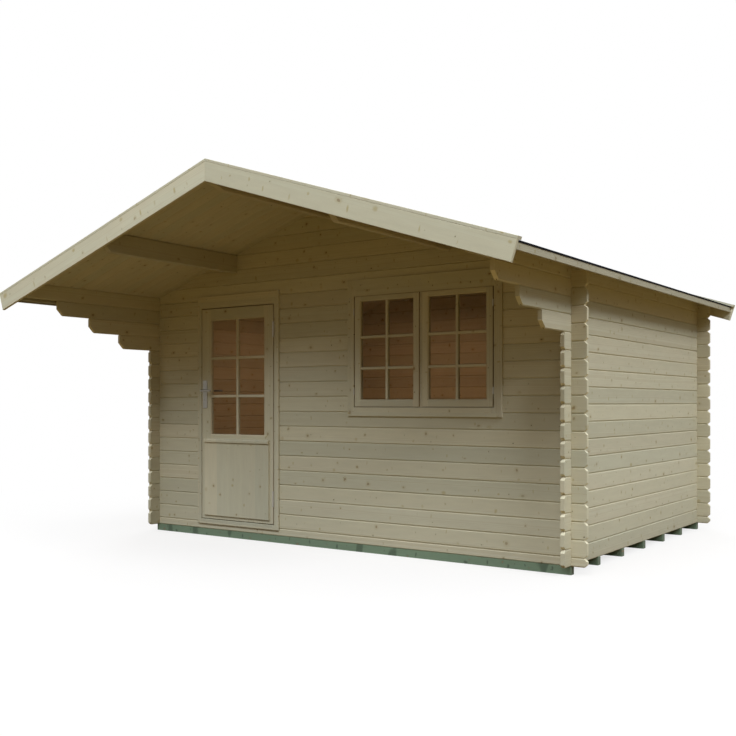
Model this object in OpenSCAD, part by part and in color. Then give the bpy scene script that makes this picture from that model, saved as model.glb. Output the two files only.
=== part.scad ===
// Log-built garden house with a gabled roof that runs forward as a canopy.
// Millimetres. X runs across the front, Y from front to rear, Z up from the ground.
// The origin lies on the ground below the middle of the roof's plan.

/* [Walls] */
// Width over the side walls' outer faces
wall_w = 3790; // [3300:10:4800]
// Depth over the front and rear walls' outer faces
wall_d = 2740; // [2000:10:4200]
// Height of one log course
log_h = 114; // [100:1:140]
// Thickness of a log
log_t = 28; // [24:1:44]
// Number of courses in a side wall
side_courses = 17; // [16:1:18]
// Reach of the log ends past the crossing walls
log_end = 105; // [80:1:140]
// Bevel along a log's long edges
log_bevel = 6.5; // [3:0.5:7]
// Chamfer on the corners of a log's end
end_chamfer = 20; // [8:1:22]
// Width of a log's tongue
tongue_w = 9; // [7:0.5:11]
// Height of a log's tongue
tongue_h = 7; // [5:0.5:9]
// Gap left between two logs
log_play = 0.4; // [0.2:0.1:1]

/* [Base] */
// Number of bearers under the floor
bearer_count = 7; // [5:1:7]
// Width of a bearer
bearer_w = 45; // [40:1:70]
// Height of a bearer
bearer_h = 55; // [40:1:90]
// Thickness of the floor boards
floor_t = 19; // [16:1:28]

/* [Roof] */
// Slope of the roof in degrees
roof_pitch = 18; // [14:0.5:24]
// Reach of the roof ahead of the front wall
roof_front = 1337; // [1100:1:1600]
// Reach of the roof behind the rear wall
roof_rear = 91; // [70:1:150]
// Reach of the barge boards past the side walls
roof_side = 283; // [220:1:400]
// Thickness of the roof boards
roof_board_t = 16; // [14:1:22]
// Thickness of the roofing felt
felt_t = 3; // [2:0.5:5]
// Depth of the felt's fold over the eaves board
felt_fold = 12; // [8:1:18]
// Width of a barge board
barge_w = 119; // [105:1:150]
// Thickness of a barge board
barge_t = 20; // [16:1:32]
// Thickness of the cap batten over a barge board and the felt's edge
cap_t = 18; // [12:1:24]
// Depth of the cap batten
cap_d = 46; // [36:1:70]
// Height of an eaves board
eaves_h = 47; // [40:1:65]
// Thickness of an eaves board
eaves_t = 17; // [14:1:22]
// Bevel along the outer edges of barge boards and casings
board_bevel = 2; // [1:0.5:4]
// Setback of the eaves board from the barge board's end
eaves_inset = 28; // [22:1:40]
// Section of the batten behind an eaves board
eaves_batten = 26; // [20:1:32]
// Width of a purlin
purlin_w = 44; // [40:1:60]
// Height of a purlin
purlin_h = 140; // [120:1:160]
// Distance of a side purlin from the ridge
purlin_x = 990; // [850:5:1100]

/* [Canopy logs] */
// Number of side courses that reach forward under the roof
canopy_logs = 4; // [2:1:4]
// Reach of the lowest of them ahead of the front wall
canopy_first = 431; // [330:1:460]
// Extra reach of each next one
canopy_step = 302; // [260:1:320]
// Chamfer under the front end of each one
canopy_chamfer = 50; // [30:1:70]

/* [Door] */
// Place of the door's middle across the front
door_x = -958; // [-1000:1:-900]
// Width of the leaf
leaf_w = 775; // [720:1:840]
// Height of the door frame's head over the leaf
door_head = 50; // [40:1:80]
// Thickness of the leaf
leaf_t = 40; // [34:1:44]
// Reach of the leaf's face past its frame's face
leaf_proud = 0; // [0:1:6]
// Width of the leaf's stiles
stile_w = 100; // [85:1:115]
// Height of the leaf's top rail
top_rail_h = 96; // [80:1:110]
// Height of the rail between the rain moulding and the glass
lock_rail_h = 36.5; // [30:0.5:120]
// Gap between the leaf and its frame
door_gap = 6.5; // [6:0.5:8]
// Gap between the leaf and the stop behind it
stop_gap = 5.5; // [5:0.5:8]
// Thickness of the frame beside the leaf
jamb_t = 26; // [22:1:32]
// Reach of the stop behind the leaf's edge
stop_w = 20; // [16:1:26]
// Reach of the door frame and window frame past the inner casing
frame_rise = 2; // [0:0.5:8]
// Height of the threshold
threshold_h = 26; // [20:1:28]
// Gap over the frames in which the logs can settle
settle_gap = 18; // [10:1:25]
// Margin beside the applied panel on the leaf
panel_margin = 40; // [25:1:60]
// Height of the applied panel
panel_h = 599; // [520:1:610]
// Thickness of the applied panel
panel_t = 12; // [10:1:20]
// Height of the panel's foot above the leaf's foot
panel_foot = 27; // [10:1:34]
// Height of the rain moulding on the panel
moulding_h = 30; // [24:1:36]
// Reach of the rain moulding
moulding_d = 24; // [20:1:28]
// Bevel round the glass on a leaf's or sash's outer face
glass_bevel = 7; // [4:0.5:9]

/* [Door fittings] */
// Height of the handle's spindle above the wall's foot
handle_z = 1137; // [1050:1:1200]
// Distance of the spindle from the leaf's free edge
backset = 38; // [34:1:60]
// Width of a handle plate
plate_w = 46; // [34:1:48]
// Height of a handle plate
plate_h = 227; // [200:1:240]
// Thickness of a handle plate
plate_t = 5; // [3:0.5:7]
// Radius of a handle plate's corners
plate_r = 6; // [2:0.5:12]
// Distance of the keyhole below the spindle
keyhole_drop = 72; // [60:1:90]
// Distance of the spindle below the plate's top
plate_drop = 83; // [60:1:110]
// Diameter of the spindle
spindle_d = 9; // [8:0.5:10]
// Distance of the lever's middle from the leaf
lever_out = 48; // [42:1:56]
// Length of the lever past the spindle
lever_l = 102; // [90:1:125]
// Diameter of the lever
lever_d = 16; // [12:1:18]
// Height of a door hinge
hinge_h = 122; // [100:1:130]
// Diameter of a hinge's barrel
hinge_d = 15; // [13:1:17]
// Diameter of a hinge's pin
hinge_pin_d = 8; // [6:0.5:9]
// Distance of the hinges from the leaf's head and foot
hinge_inset = 135; // [80:1:250]

/* [Window] */
// Place of the window's middle across the front
window_x = 780; // [740:1:830]
// Width of one sash
sash_w = 556; // [500:1:580]
// Height of the window frame's head over the sashes
window_head = 47; // [36:1:80]
// Thickness of a sash
sash_t = 38; // [34:1:42]
// Reach of the sash's face past its frame's face
sash_proud = 0; // [0:1:8]
// Width of a sash's stiles and foot rail
sash_rail = 52; // [44:1:60]
// Width of a sash's head rail
sash_head_rail = 37; // [32:1:60]
// Gap between a sash and its frame
sash_gap = 2; // [1.5:0.5:3]
// Extra gap beside a sash's hinged edge
hinge_groove = 6; // [3:0.5:6]
// Height of a window hinge
window_hinge_h = 45; // [36:1:70]
// Diameter of a window hinge's barrel
window_hinge_d = 10; // [10:0.5:12]
// Distance of the window hinges from the sash's head and foot
window_hinge_inset = 88; // [60:1:150]
// Width of the post between the sashes
mullion_w = 18; // [16:1:30]
// Thickness of the window's sill
sill_t = 38; // [30:1:40]
// Height of one wall stretch below the window, in whole courses
below_courses = 8; // [7:1:8]
// Thickness of the glass
glass_t = 4; // [3:1:5]

/* [Casings] */
// Thickness of the casing boards
casing_t = 14; // [12:1:22]
// Overlap of the door casing on the logs
door_casing_lap = 19; // [14:1:40]
// Overlap of the window casing on the logs
window_casing_lap = 39; // [25:1:50]
// Height of the door casing's top above the frame's opening
door_casing_top = 32; // [20:1:60]
// Height of the window casing's top above the frame's opening
window_casing_top = 57; // [30:1:70]
// Reach of the window casing's foot below the opening
window_casing_foot = 30; // [25:1:50]
// Reach of the door casing's foot below the opening
door_casing_foot = 14; // [10:1:25]

/* [Hidden] */
fit = 0.3;                                  // clearance between pieces that are fixed together
eps = 1;                                    // overrun of a cutting shape
base_z = bearer_h;                          // foot of the walls
half_h = log_h / 2;                         // the front and rear walls start with a half log
side_x = wall_w / 2;                        // side walls' outer faces
front_y = (roof_front - wall_d - max(roof_rear, log_end)) / 2;   // front wall's outer face
rear_y = front_y + wall_d;                  // rear wall's outer face
roof_y0 = front_y - roof_front;             // front face of the front barge boards
roof_y1 = rear_y + roof_rear;               // rear face of the rear barge boards
deck_y0 = roof_y0 + barge_t;                // front edge of the roof boards
deck_y1 = roof_y1 - barge_t;                // rear edge of the roof boards
roof_x = side_x + roof_side;                // tips of the barge boards
slope = tan(roof_pitch);
ridge_z = base_z + side_courses * log_h + (side_x - log_t) * slope;   // underside of the roof at the ridge
deck_rise = roof_board_t / cos(roof_pitch);
felt_rise = felt_t / cos(roof_pitch);
felt_top = ridge_z + deck_rise + felt_rise + fit;   // ridge of the felt
eaves_x = roof_x - eaves_inset;             // outer face of the eaves boards
opening_top = base_z + half_h + (side_courses - 1) * log_h;   // underside of the log over the openings
crossing_x = side_x - log_t / 2;            // middle of the side walls
crossing_w = log_t + 2 * log_play;          // width of a corner notch
wall_courses = side_courses - 1;            // whole courses of the front wall beside the door

door_foot = base_z + half_h;                // top of the half log under the door
door_w = leaf_w + 2 * door_gap + 2 * jamb_t;     // opening in the logs
door_frame_h = opening_top - door_foot - settle_gap;
frame_back = front_y + log_t + casing_t + frame_rise;    // inner face of the frames
leaf_h = door_frame_h - threshold_h - door_head - 2 * door_gap;
leaf_z = door_foot + threshold_h + door_gap;     // foot of the leaf
face_y = front_y - casing_t;                // outer faces of the frames
leaf_y = face_y - leaf_proud;               // outer face of the leaf
leaf_l = door_x - leaf_w / 2;               // free edge of the leaf
leaf_r = door_x + leaf_w / 2;               // hinged edge of the leaf
hinge_x = leaf_r + door_gap / 2;
hinge_y = leaf_y - hinge_d / 2;
hinge_flap_t = 2;
hinge_flap_w = 26;
spindle_x = leaf_l + backset;
spindle_z = base_z + handle_z;
door_glass_z = leaf_z + panel_foot + panel_h + moulding_h + lock_rail_h;
door_glass_h = leaf_z + leaf_h - top_rail_h - door_glass_z;
door_glass_w = leaf_w - 2 * stile_w;
rebate = 12;                                // seat of a glass pane in its frame
bead_bevel = 5;                             // bevel on the bead behind a pane
drip_d = 5;                                 // drip groove under the rain moulding
sill_bevel = 9;                             // bevel along the foot of a frame, in front of the leaf or sash

window_foot = base_z + half_h + below_courses * log_h;
window_w = 2 * sash_w + mullion_w + 4 * sash_gap + 2 * jamb_t;
window_frame_h = opening_top - window_foot - settle_gap;
sash_h = window_frame_h - sill_t - window_head - 2 * sash_gap;
sash_z = window_foot + sill_t + sash_gap;
sash_y = face_y - sash_proud;
sash_side = (mullion_w + sash_w) / 2 + sash_gap;   // middle of a sash from the window's middle
pane_w = sash_w - 2 * sash_rail;            // glass that shows in a sash
pane_h = sash_h - sash_rail - sash_head_rail;

// ---------- Logs ----------

// Section of a log across its thickness, standing on the joint below it
module log_section(h) {
    t = log_t / 2;
    foot = log_play / 2;
    head = h - log_play / 2;
    groove = tongue_w / 2 + log_play;
    polygon([
        [-t, foot + log_bevel], [-t, head - log_bevel], [log_bevel - t, head],
        [-tongue_w / 2, head], [-tongue_w / 2, head + tongue_h],
        [tongue_w / 2, head + tongue_h], [tongue_w / 2, head],
        [t - log_bevel, head], [t, head - log_bevel], [t, foot + log_bevel],
        [t - log_bevel, foot], [groove, foot], [groove, foot + tongue_h + 1],
        [-groove, foot + tongue_h + 1], [-groove, foot], [log_bevel - t, foot]]);
}

// Corner chamfer of a log's end: a triangle to cut away; dx and dz point into the log
module corner_cut(x, z, dx, dz) {
    polygon([[x - dx, z - dz], [x + 2 * dx, z - dz], [x - dx, z + 2 * dz]]);
}

// Side outline of a log from a to b, with a notch over and under each crossing; ends lists
// [x, way into the log, chamfer under it, chamfer over it] for each end that is chamfered
module log_outline(a, b, h, crossings, ends) {
    quarter = log_h / 4;
    difference() {
        translate([a, 0]) square([b - a, h + tongue_h]);
        for (c = crossings) {
            if (h == log_h)
                translate([c - crossing_w / 2, -eps]) square([crossing_w, eps + quarter + log_play / 2]);
            translate([c - crossing_w / 2, h - quarter - log_play / 2])
                square([crossing_w, quarter + tongue_h + 2 * eps]);
        }
        for (e = ends) {
            corner_cut(e[0], 0, e[1] * e[2], e[2]);
            if (e[3] > 0) corner_cut(e[0], h, e[1] * e[3], -e[3]);
        }
    }
}

// A log that runs across the house, its outline drawn over X and Z
module cross_log(y, a, b, z, h, crossings, ends) {
    translate([0, y, z]) intersection() {
        translate([a - eps, 0, 0]) rotate([90, 0, 90]) linear_extrude(b - a + 2 * eps) log_section(h);
        translate([0, log_t, 0]) rotate([90, 0, 0]) linear_extrude(2 * log_t)
            log_outline(a, b, h, crossings, ends);
    }
}

// A log of a side wall, its outline drawn over Y and Z
module side_log(a, b, z, h, crossings, ends) {
    translate([0, 0, z]) intersection() {
        translate([0, b + eps, 0]) rotate([90, 0, 0]) linear_extrude(b - a + 2 * eps) log_section(h);
        translate([-log_t, 0, 0]) rotate([90, 0, 90]) linear_extrude(2 * log_t)
            log_outline(a, b, h, crossings, ends);
    }
}

function course_z(i) = base_z + i * log_h;                 // joint under a side wall's course i
function cross_z(i) = base_z + half_h + i * log_h;         // joint under a front or rear course i

// Both corners of a log's end at x; way is 1 where the log runs to higher x, or -1
function plain_end(x, way) = [x, way, end_chamfer, end_chamfer];

side_crossings = [front_y + log_t / 2, rear_y - log_t / 2];
front_end = plain_end(front_y - log_end, 1);
rear_end = plain_end(rear_y + log_end, -1);
left_end = plain_end(-side_x - log_end, 1);
right_end = plain_end(side_x + log_end, -1);
front_log_y = front_y + log_t / 2;
rear_log_y = rear_y - log_t / 2;

// All that lies under the roof boards, as a tall gabled block
module under_roof(drop = fit) {
    rear = rear_y + log_end + eps;
    translate([0, rear, 0]) rotate([90, 0, 0]) linear_extrude(rear - roof_y0)
        polygon([[-roof_x, 0], [-roof_x, ridge_z - drop - roof_x * slope], [0, ridge_z - drop],
                 [roof_x, ridge_z - drop - roof_x * slope], [roof_x, 0]]);
}

module side_wall(s) {
    color("burlywood") translate([s * crossing_x, 0, 0])
        for (i = [0:side_courses - canopy_logs - 1])
            side_log(front_y - log_end, rear_y + log_end, course_z(i), log_h, side_crossings,
                     [front_end, rear_end]);
}

// One canopy log, k courses above the lowest; the topmost fills the roof's whole length, and
// the two topmost stop at the rear barge boards
module canopy_log(k) {
    z = course_z(side_courses - canopy_logs + k);
    under_barge = k > canopy_logs - 3;
    rear = under_barge ? deck_y1 - fit : rear_y + log_end;
    rear_cut = under_barge ? [] : [rear_end];
    if (k == canopy_logs - 1)
        side_log(deck_y0 + fit, rear, z, log_h, side_crossings, rear_cut);
    else {
        front = front_y - canopy_first - k * canopy_step;
        side_log(front, rear, z, log_h, side_crossings, concat([[front, 1, canopy_chamfer, 0]], rear_cut));
    }
}

module canopy_wall(s) {
    color("tan") intersection() {
        translate([s * crossing_x, 0, 0]) for (k = [0:canopy_logs - 1]) canopy_log(k);
        under_roof();
    }
}

// Front or rear half log on the bearers
module base_log(y) {
    color("burlywood")
        cross_log(y, -side_x - log_end, side_x + log_end, base_z, half_h,
                  [-crossing_x, crossing_x], [left_end, right_end]);
}

module front_base_log() {
    color("burlywood") difference() {
        base_log(front_log_y);
        translate([door_x - door_w / 2 - fit, front_y - eps, door_foot - log_play / 2])
            cube([door_w + 2 * fit, log_t + 2 * eps, log_h]);
    }
}

// Stretch of the front wall between two heights in courses
module front_stretch(a, b, first, last, crossings, ends) {
    color("burlywood")
        for (i = [first:last])
            cross_log(front_log_y, a, b, cross_z(i), log_h, crossings, ends);
}

module front_wall_left() {
    front_stretch(-side_x - log_end, door_x - door_w / 2 - fit, 0, wall_courses - 1, [-crossing_x],
                  [left_end]);
}

module front_wall_below_window() {
    difference() {
        front_stretch(door_x + door_w / 2 + fit, side_x + log_end, 0, below_courses - 1, [crossing_x],
                      [right_end]);
        translate([window_x - window_w / 2 - fit, front_y - eps, window_foot - log_play / 2])
            cube([window_w + 2 * fit, log_t + 2 * eps, log_h]);
    }
}

module front_wall_between() {
    front_stretch(door_x + door_w / 2 + fit, window_x - window_w / 2 - fit,
                  below_courses, wall_courses - 1, [], []);
}

module front_wall_right() {
    front_stretch(window_x + window_w / 2 + fit, side_x + log_end,
                  below_courses, wall_courses - 1, [crossing_x], [right_end]);
}

module rear_wall() {
    base_log(rear_log_y);
    color("burlywood")
        for (i = [0:wall_courses - 1])
            cross_log(rear_log_y, -side_x - log_end, side_x + log_end, cross_z(i), log_h,
                      [-crossing_x, crossing_x], [left_end, right_end]);
}

// Logs over the openings, cut to the roof's slope, with pockets for the purlins
module gable(y) {
    courses = ceil((ridge_z - cross_z(wall_courses)) / log_h);
    color("tan") difference() {
        intersection() {
            for (i = [0:courses - 1])
                cross_log(y, -side_x - log_end, side_x + log_end, cross_z(wall_courses + i), log_h,
                          i == 0 ? [-crossing_x, crossing_x] : [], []);
            under_roof();
        }
        for (s = [-1:1]) purlin(s, fit);
    }
}

// ---------- Base ----------

module bearer(i) {
    pitch = (wall_d - bearer_w) / (bearer_count - 1);
    color("darkkhaki") translate([-side_x, front_y + (i - 1) * pitch, 0])
        cube([wall_w, bearer_w, bearer_h]);
}

module floor_deck() {
    inner_x = side_x - log_t - fit;
    color("wheat") translate([-inner_x, front_y + log_t + fit, base_z])
        cube([2 * inner_x, wall_d - 2 * log_t - 2 * fit, floor_t]);
}

// ---------- Roof ----------

// Purlin s = -1, 0 or 1 from left to right; grow makes the pocket that holds it
module purlin(s, grow = 0) {
    x = s * purlin_x;
    foot = ridge_z - abs(x) * slope - purlin_h;
    over = grow > 0 ? roof_y1 - roof_y0 : 0;
    intersection() {
        translate([x - purlin_w / 2 - grow, deck_y0 + fit - over, foot - grow])
            cube([purlin_w + 2 * grow, deck_y1 - deck_y0 - 2 * fit + 2 * over, purlin_h + 2 * grow]);
        if (grow == 0) under_roof();
        else cube([4 * roof_x, 4 * wall_d, 4 * ridge_z], center = true);
    }
}

// Half of a roof layer on the right side, from x0 to x1, between two heights over the underside
module roof_layer(x0, x1, low, high, y0, y1) {
    translate([0, y1, 0]) rotate([90, 0, 0]) linear_extrude(y1 - y0)
        polygon([[x0, ridge_z + low - x0 * slope], [x0, ridge_z + high - x0 * slope],
                 [x1, ridge_z + high - x1 * slope], [x1, ridge_z + low - x1 * slope]]);
}

module roof_boards() {
    color("burlywood")
        roof_layer(fit / 2, eaves_x - eaves_t - fit, 0, deck_rise, deck_y0 + fit, deck_y1 - fit);
}

// One folded sheet over the ridge, turned down over both eaves boards
module roof_felt() {
    edge = eaves_x + fit;
    outer = edge + felt_t;
    fold = felt_top - outer * slope - felt_fold;
    right_edge = [[outer, felt_top - outer * slope], [outer, fold], [edge, fold],
                  [edge, felt_top - felt_rise - edge * slope]];
    left_edge = [for (i = [3:-1:0]) [-right_edge[i][0], right_edge[i][1]]];
    color("dimgray") translate([0, deck_y1 - fit, 0]) rotate([90, 0, 0])
        linear_extrude(deck_y1 - deck_y0 - 2 * fit)
            polygon(concat([[0, felt_top]], right_edge, [[0, felt_top - felt_rise]], left_edge));
}

// Eaves board over the ends of the roof boards, and the batten under them that it is nailed to
module eaves_board() {
    top = ridge_z + deck_rise - eaves_x * slope;
    outer = eaves_x - eaves_t - fit;
    color("wheat") translate([eaves_x - eaves_t, deck_y0 + fit, top - eaves_h])
        cube([eaves_t, deck_y1 - deck_y0 - 2 * fit, eaves_h]);
    color("burlywood")
        roof_layer(outer - eaves_batten, outer, -eaves_batten, -fit, deck_y0 + fit, deck_y1 - fit);
}

// A planed board from the origin along X, w high over Z and t deep over Y, with bevels along the edges
// of its outer face; way is 1 where that face looks to the front, or -1 where it looks to the rear
module board(l, w, t, way) {
    outer = way > 0 ? 0 : t;
    rotate([90, 0, 90]) linear_extrude(l)
        polygon([[outer + way * board_bevel, 0], [outer + way * t, 0], [outer + way * t, w],
                 [outer + way * board_bevel, w], [outer, w - board_bevel], [outer, board_bevel]]);
}

// A board of a gable down the right slope, w wide from foot, which is measured square to the felt; it is
// cut plumb at the ridge and square at its tip
module gable_board(foot, w, t, way) {
    length = roof_x / cos(roof_pitch);
    run_on = barge_w * slope;                   // what the plumb cut takes off
    difference() {
        translate([0, 0, felt_top]) rotate([0, roof_pitch, 0]) translate([-run_on, 0, foot])
            board(length + run_on, w, t, way);
        translate([fit / 2 - roof_x, -eps, 0]) cube([roof_x, t + 2 * eps, 2 * felt_top]);
    }
}

// The right barge board of one gable and the cap batten over it and the felt's edge
module barge_board(way) {
    translate([0, way > 0 ? roof_y0 : deck_y1, 0]) gable_board(-barge_w, barge_w, barge_t, way);
    translate([0, way > 0 ? roof_y0 : roof_y1 - cap_d, 0]) gable_board(fit, cap_t, cap_d, way);
}

// The boards on both slopes of one gable, which meet at the ridge
module barge_boards(way) {
    color("wheat") {
        barge_board(way);
        left() barge_board(way);
    }
}

module left() { mirror([1, 0, 0]) children(); }

// ---------- Door ----------

// Ring of a frame round an opening, seen from the front
module ring(x, z, w, h, side, foot, head, y, t) {
    difference() {
        translate([x - w / 2, y, z]) cube([w, t, h]);
        translate([x - w / 2 + side, y - eps, z + foot])
            cube([w - 2 * side, t + 2 * eps, h - foot - head]);
    }
}

// Bevel to cut round an opening of w by h at foot z, c deep; way is 1 where it opens to the front
module bevel_cut(x, z, w, h, y, c, way) {
    out = c + eps;
    intersection() {
        translate([0, 0, z - out]) linear_extrude(h + 2 * out)
            polygon([[x - w / 2 - out, y - way * eps], [x + w / 2 + out, y - way * eps],
                     [x + w / 2, y + way * c], [x - w / 2, y + way * c]]);
        translate([x - w / 2 - out, 0, 0]) rotate([90, 0, 90]) linear_extrude(w + 2 * out)
            polygon([[y - way * eps, z - out], [y - way * eps, z + h + out],
                     [y + way * c, z + h], [y + way * c, z]]);
    }
}

// Bevel to cut along the upper front edge of a sill or threshold
module sill_cut(x, z, w, y) {
    translate([x - w / 2, y, z]) rotate([90, 0, 90]) linear_extrude(w)
        polygon([[-eps, eps], [-eps, -sill_bevel / 2], [sill_bevel, 0], [sill_bevel, eps]]);
}

module door_frame() {
    stop_y = leaf_y + leaf_t + stop_gap;
    color("tan") difference() {
        union() {
            ring(door_x, door_foot, door_w - 2 * fit, door_frame_h, jamb_t - fit, threshold_h, door_head,
                 face_y, stop_y - face_y);
            ring(door_x, door_foot, door_w - 2 * fit, door_frame_h, jamb_t + stop_w, threshold_h,
                 door_head + stop_w, stop_y, frame_back - stop_y);
        }
        sill_cut(door_x, door_foot + threshold_h, door_w - 2 * jamb_t, face_y);
    }
}

// Boards round an opening of w by h at foot z, on both faces of the wall; they reach lap past it at
// the sides, low below it and high above it, and leave the frame's height open. The head and foot
// boards run over the ends of the upright ones
module casing(x, z, w, h, frame_h, lap, low, high) {
    width = w + 2 * lap;
    head = h + high - frame_h - fit;
    upright = frame_h - fit;
    color("wheat")
        for (side = [[front_y - casing_t - fit, 1], [front_y + log_t + fit, -1]])
            translate([x, side[0], z]) {
                translate([-width / 2, 0, -low]) board(width, low - fit, casing_t, side[1]);
                translate([-width / 2, 0, frame_h + fit]) board(width, head, casing_t, side[1]);
                for (s = [-1, 1])
                    translate([s * (w + lap + fit) / 2 + (lap - fit) / 2, 0, fit / 2]) rotate([0, -90, 0])
                        board(upright, lap - fit, casing_t, side[1]);
            }
}

// A rebated frame for a pane round an opening of w by h at foot z, with rails and stiles of these widths,
// and the bead that holds the pane from the inner face
module glazed_frame(x, z, w, h, stile, foot, head, y, t) {
    glass_y = y + t / 2 - glass_t / 2;
    bead = rebate - fit;
    difference() {
        ring(x, z - foot, w + 2 * stile, h + foot + head, stile, foot, head, y, t);
        translate([x - w / 2 - rebate, glass_y, z - rebate]) cube([w + 2 * rebate, t, h + 2 * rebate]);
        bevel_cut(x, z, w, h, y, glass_bevel, 1);
    }
    difference() {
        ring(x, z - bead, w + 2 * bead, h + 2 * bead, bead, bead, bead, glass_y + glass_t + fit,
             t / 2 - glass_t / 2 - fit);
        bevel_cut(x, z, w, h, y + t, bead_bevel, -1);
    }
}

// A pane in such a frame
module pane(x, z, w, h, y, t) {
    color("lightblue", 0.4)
        translate([x - w / 2 - rebate + fit, y + t / 2 - glass_t / 2 + fit, z - rebate + fit])
            cube([w + 2 * (rebate - fit), glass_t - fit, h + 2 * (rebate - fit)]);
}

module door_casing() {
    casing(door_x, door_foot, door_w, opening_top - door_foot, door_frame_h,
           door_casing_lap, door_casing_foot, door_casing_top);
}

module door_leaf() {
    color("burlywood") difference() {
        glazed_frame(door_x, door_glass_z, door_glass_w, door_glass_h, stile_w, door_glass_z - leaf_z,
                     top_rail_h, leaf_y, leaf_t);
        translate([spindle_x, leaf_y - eps, spindle_z]) rotate([-90, 0, 0])
            cylinder(d = spindle_d + 2, h = leaf_t + 2 * eps, $fn = 32);
    }
}

module door_panel() {
    panel_w = leaf_w - 2 * panel_margin;
    x = door_x - panel_w / 2;
    z = leaf_z + panel_foot;
    color("wheat") {
        translate([x, leaf_y - panel_t - fit, z]) board(panel_w, panel_h, panel_t, 1);
        translate([x, leaf_y - fit, z + panel_h + fit]) rotate([90, 0, 90]) linear_extrude(panel_w)
            difference() {
                intersection() {
                    translate([-moulding_d, 0]) square([moulding_d, moulding_h]);
                    circle(r = moulding_h, $fn = 48);
                }
                translate([-(panel_t + moulding_d) / 2, 0]) circle(d = drip_d, $fn = 32);
            }
    }
}

module door_glass() { pane(door_x, door_glass_z, door_glass_w, door_glass_h, leaf_y, leaf_t); }

// Rectangle with round corners, centred across and standing on its foot
module rounded(w, h, r) {
    translate([r - w / 2, 0]) square([w - 2 * r, h]);
    translate([-w / 2, r]) square([w, h - 2 * r]);
    for (s = [-1, 1], z = [r, h - r]) translate([s * (w / 2 - r), z]) circle(r = r, $fn = 32);
}

// A plate from y to the rear, with its spindle hole and keyhole
module handle_plate(y) {
    key_d = 8;
    key_w = 4;
    key_h = 13;
    translate([spindle_x, y + plate_t, spindle_z]) rotate([90, 0, 0]) linear_extrude(plate_t)
        difference() {
            translate([0, plate_drop - plate_h]) rounded(plate_w, plate_h, plate_r);
            circle(d = spindle_d + 1, $fn = 32);
            translate([0, -keyhole_drop]) circle(d = key_d, $fn = 32);
            translate([-key_w / 2, -keyhole_drop - key_h]) square([key_w, key_h]);
        }
}

module door_handle_plates() {
    color("silver") {
        handle_plate(leaf_y - plate_t - fit);
        handle_plate(leaf_y + leaf_t + fit);
    }
}

// Both levers on their spindle
module door_lever() {
    out = lever_out - lever_d / 2;
    neck_d = lever_d + 4;
    color("silver") translate([spindle_x, 0, spindle_z]) {
        translate([0, leaf_y - lever_out, 0]) rotate([-90, 0, 0])
            cylinder(d = spindle_d, h = leaf_t + 2 * lever_out, $fn = 32);
        for (y = [leaf_y - lever_out, leaf_y + leaf_t + plate_t + 2 * fit + 1])
            translate([0, y, 0]) rotate([-90, 0, 0])
                cylinder(d = neck_d, h = lever_out - plate_t - 2 * fit - 1, $fn = 48);
        for (y = [leaf_y - lever_out, leaf_y + leaf_t + lever_out])
            translate([0, y, 0]) {
                rotate([0, 90, 0]) cylinder(d = lever_d, h = lever_l, $fn = 32);
                translate([lever_l, 0, 0]) sphere(d = lever_d, $fn = 32);
                sphere(d = neck_d, $fn = 32);
            }
    }
}

// Half of a hinge on the leaf, over its knuckle on the frame
module hinge_pair(on_door) {
    half = hinge_h / 2;
    for (foot = [leaf_z + hinge_inset, leaf_z + leaf_h - hinge_inset - hinge_h])
        translate([hinge_x, hinge_y, foot]) {
            if (on_door) {
                translate([0, 0, half + 0.5]) difference() {
                    union() {
                        cylinder(d = hinge_d, h = half - 0.5, $fn = 40);
                        translate([-door_gap / 2 + fit / 2, 0, 0])
                            cube([hinge_flap_t, hinge_flap_w, half - 0.5]);
                    }
                    translate([0, 0, -eps]) cylinder(d = hinge_pin_d + 0.2, h = half - 3, $fn = 40);
                }
            } else {
                cylinder(d = hinge_d, h = half, $fn = 40);
                cylinder(d = hinge_pin_d, h = hinge_h - 8, $fn = 40);
                translate([door_gap / 2 - hinge_flap_t - fit / 2, 0, 0])
                    cube([hinge_flap_t, hinge_flap_w, half]);
            }
        }
}

module door_hinge_knuckles() { color("silver") hinge_pair(true); }

module frame_hinge_knuckles() { color("silver") hinge_pair(false); }

// ---------- Window ----------

module window_frame() {
    stop_y = sash_y + sash_t + fit;
    post_z = window_foot + sill_t - eps;
    post_h = window_frame_h - sill_t - window_head + 2 * eps;
    color("tan") {
        difference() {
            union() {
                ring(window_x, window_foot, window_w - 2 * fit, window_frame_h, jamb_t - fit - hinge_groove,
                     sill_t, window_head, face_y, stop_y - face_y);
                ring(window_x, window_foot, window_w - 2 * fit, window_frame_h, jamb_t + stop_w,
                     sill_t + stop_w, window_head + stop_w, stop_y, frame_back - stop_y);
            }
            sill_cut(window_x, window_foot + sill_t, window_w - 2 * (jamb_t - hinge_groove), face_y);
        }
        translate([window_x - mullion_w / 2, face_y + sill_bevel, post_z])
            cube([mullion_w, frame_back - face_y - sill_bevel, post_h]);
        translate([window_x - mullion_w / 2 - stop_w, stop_y, post_z])
            cube([mullion_w + 2 * stop_w, frame_back - stop_y, post_h]);
    }
}

module window_casing() {
    casing(window_x, window_foot, window_w, opening_top - window_foot, window_frame_h,
           window_casing_lap, window_casing_foot, window_casing_top);
}

module sash(s) {
    color("wheat")
        glazed_frame(window_x + s * sash_side, sash_z + sash_rail, pane_w, pane_h, sash_rail, sash_rail,
                     sash_head_rail, sash_y, sash_t);
}

module window_glass() {
    for (s = [-1, 1])
        pane(window_x + s * sash_side, sash_z + sash_rail, pane_w, pane_h, sash_y, sash_t);
}

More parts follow.
